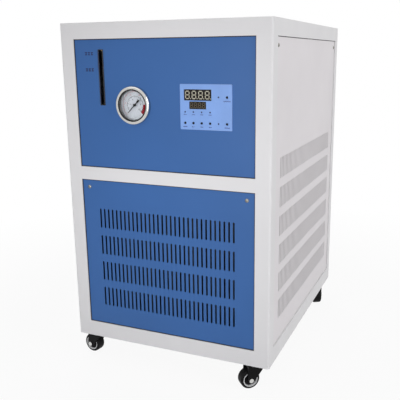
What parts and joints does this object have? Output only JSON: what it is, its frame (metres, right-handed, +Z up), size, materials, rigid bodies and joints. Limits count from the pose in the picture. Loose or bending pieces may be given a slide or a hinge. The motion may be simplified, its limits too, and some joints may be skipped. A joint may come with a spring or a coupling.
{
  "type": "recirculating chiller",
  "caption": "Floor-standing recirculating chiller: a tall cabinet on swivel castors with slotted panels, a pressure gauge, a level sight and a digital control pad.",
  "frame": {"origin": "on the floor under the middle of the whole object's box", "axes": "+Z up, +X to the right of someone who faces the control pad, +Y from the front to the rear"},
  "size_m": [0.408, 0.534, 0.664],
  "materials": {
    "powder_white": "satin off-white powder coat",
    "panel_blue": "satin blue powder coat",
    "pad_film": "matt periwinkle film",
    "display_face": "dark tinted face with unlit segments",
    "lamp": "diffused red lamp bodies",
    "board": "green circuit board",
    "button": "black stems",
    "zinc": "zinc-plated steel",
    "screw_steel": "nickel-plated steel",
    "bezel_steel": "polished stainless steel",
    "glass": "clear flat glass",
    "dial_white": "light printed dial",
    "pointer": "black painted pointer",
    "brass": "turned brass",
    "sight_plastic": "clear acrylic tube",
    "castor_black": "black coated steel",
    "castor_tyre": "black tyre with a light ring and a dark hub",
    "compressor_black": "black enamel",
    "rubber": "black rubber",
    "fins": "aluminium fins",
    "shroud": "black moulded plastic",
    "tank_steel": "brushed stainless steel",
    "copper": "copper tube",
    "cap_black": "black ribbed cap",
    "pump_blue": "dark blue enamel",
    "hose": "black hose",
    "lever_red": "red dipped lever",
    "gland": "black nylon"
  },
  "bodies": {
    "cabinet": {"front_frame": "powder_white", "rear_frame": "powder_white", "side_rails": "powder_white", "base_tray": "zinc", "top_cover": "powder_white", "middle_shelf": "zinc", "side_panel_left": "powder_white", "side_panel_right": "powder_white", "rear_panel": "powder_white", "front_panel_upper": "panel_blue", "front_panel_lower": "panel_blue", "panel_screws": "screw_steel", "control_overlay": "pad_film", "display_modules": "display_face", "indicator_lamps": "lamp", "control_board": "board", "board_standoffs": "zinc", "gauge_case": "screw_steel", "gauge_bezel": "bezel_steel", "gauge_window": "glass", "gauge_dial": "dial_white", "gauge_socket": "brass", "level_tube": "sight_plastic", "level_elbows": "brass", "castor_plates": "castor_black", "castor_bolts": "screw_steel", "compressor": "compressor_black", "compressor_mounts": "rubber", "condenser": "fins", "air_guides": "fins", "fan_shroud": "shroud", "fan_motor": "screw_steel", "reservoir": "tank_steel", "reservoir_lid": "tank_steel", "evaporator_coil": "copper", "pump": "pump_blue", "refrigerant_lines": "copper", "coolant_hoses": "hose", "coolant_ports": "bezel_steel", "drain_valve": "brass", "cable_gland": "gland", "electrical_box": "powder_white"},
    "gauge_pointer": {"gauge_pointer": "pointer"},
    "fan": {"fan_blades": "shroud"},
    "filler_cap": {"filler_cap": "cap_black"},
    "drain_lever": {"drain_lever": "lever_red"},
    "button_set": {"button_set": "button"},
    "button_shift": {"button_shift": "button"},
    "button_down": {"button_down": "button"},
    "button_up": {"button_up": "button"},
    "button_cool": {"button_cool": "button"},
    "button_power": {"button_power": "button"},
    "swivel_fl": {"castor_fork_fl": "castor_black"},
    "wheel_fl": {"castor_wheel_fl": "castor_tyre"},
    "swivel_fr": {"castor_fork_fr": "castor_black"},
    "wheel_fr": {"castor_wheel_fr": "castor_tyre"},
    "swivel_rl": {"castor_fork_rl": "castor_black"},
    "wheel_rl": {"castor_wheel_rl": "castor_tyre"},
    "swivel_rr": {"castor_fork_rr": "castor_black"},
    "wheel_rr": {"castor_wheel_rr": "castor_tyre"}
  },
  "joints": [
    {"name": "button_set_press", "type": "slide", "parent": "cabinet", "child": "button_set", "axis": [0, 1, 0], "range_m": [0, 0.0005], "stiffness_N_per_m": 4000},
    {"name": "button_shift_press", "type": "slide", "parent": "cabinet", "child": "button_shift", "axis": [0, 1, 0], "range_m": [0, 0.0005], "stiffness_N_per_m": 4000},
    {"name": "button_down_press", "type": "slide", "parent": "cabinet", "child": "button_down", "axis": [0, 1, 0], "range_m": [0, 0.0005], "stiffness_N_per_m": 4000},
    {"name": "button_up_press", "type": "slide", "parent": "cabinet", "child": "button_up", "axis": [0, 1, 0], "range_m": [0, 0.0005], "stiffness_N_per_m": 4000},
    {"name": "button_cool_press", "type": "slide", "parent": "cabinet", "child": "button_cool", "axis": [0, 1, 0], "range_m": [0, 0.0005], "stiffness_N_per_m": 4000},
    {"name": "button_power_press", "type": "slide", "parent": "cabinet", "child": "button_power", "axis": [0, 1, 0], "range_m": [0, 0.0005], "stiffness_N_per_m": 4000},
    {"name": "gauge_pointer_turn", "type": "hinge", "parent": "cabinet", "child": "gauge_pointer", "pos_m": [-0.04978, -0.2578, 0.5104], "axis": [0, 1, 0], "range_deg": [0, 270], "stiffness_Nm_per_rad": 0.002},
    {"name": "swivel_turn_fl", "type": "hinge", "parent": "cabinet", "child": "swivel_fl", "pos_m": [-0.16598, -0.231, 0.045], "axis": [0, 0, 1], "continuous": true},
    {"name": "wheel_roll_fl", "type": "hinge", "parent": "swivel_fl", "child": "wheel_fl", "pos_m": [-0.18474, -0.22803, 0.0185], "axis": [0.1564, 0.9877, 0], "continuous": true},
    {"name": "swivel_turn_fr", "type": "hinge", "parent": "cabinet", "child": "swivel_fr", "pos_m": [0.17402, -0.231, 0.045], "axis": [0, 0, 1], "continuous": true},
    {"name": "wheel_roll_fr", "type": "hinge", "parent": "swivel_fr", "child": "wheel_fr", "pos_m": [0.16013, -0.24396, 0.0185], "axis": [-0.682, 0.7314, 0], "continuous": true},
    {"name": "swivel_turn_rl", "type": "hinge", "parent": "cabinet", "child": "swivel_rl", "pos_m": [-0.16598, 0.199, 0.045], "axis": [0, 0, 1], "continuous": true},
    {"name": "wheel_roll_rl", "type": "hinge", "parent": "swivel_rl", "child": "wheel_rl", "pos_m": [-0.14812, 0.1925, 0.0185], "axis": [-0.342, -0.9397, 0], "continuous": true},
    {"name": "swivel_turn_rr", "type": "hinge", "parent": "cabinet", "child": "swivel_rr", "pos_m": [0.17402, 0.199, 0.045], "axis": [0, 0, 1], "continuous": true},
    {"name": "wheel_roll_rr", "type": "hinge", "parent": "swivel_rr", "child": "wheel_rr", "pos_m": [0.18381, 0.18271, 0.0185], "axis": [-0.8572, -0.515, 0], "continuous": true},
    {"name": "fan_spin", "type": "hinge", "parent": "cabinet", "child": "fan", "pos_m": [0.00402, -0.153, 0.218], "axis": [0, 1, 0], "continuous": true},
    {"name": "filler_cap_lift", "type": "slide", "parent": "cabinet", "child": "filler_cap", "axis": [0, 0, 1], "range_m": [0, 0.03]},
    {"name": "drain_lever_turn", "type": "hinge", "parent": "cabinet", "child": "drain_lever", "pos_m": [-0.05598, 0.242, 0.155], "axis": [0, 0, 1], "range_deg": [0, 90]}
  ]
}
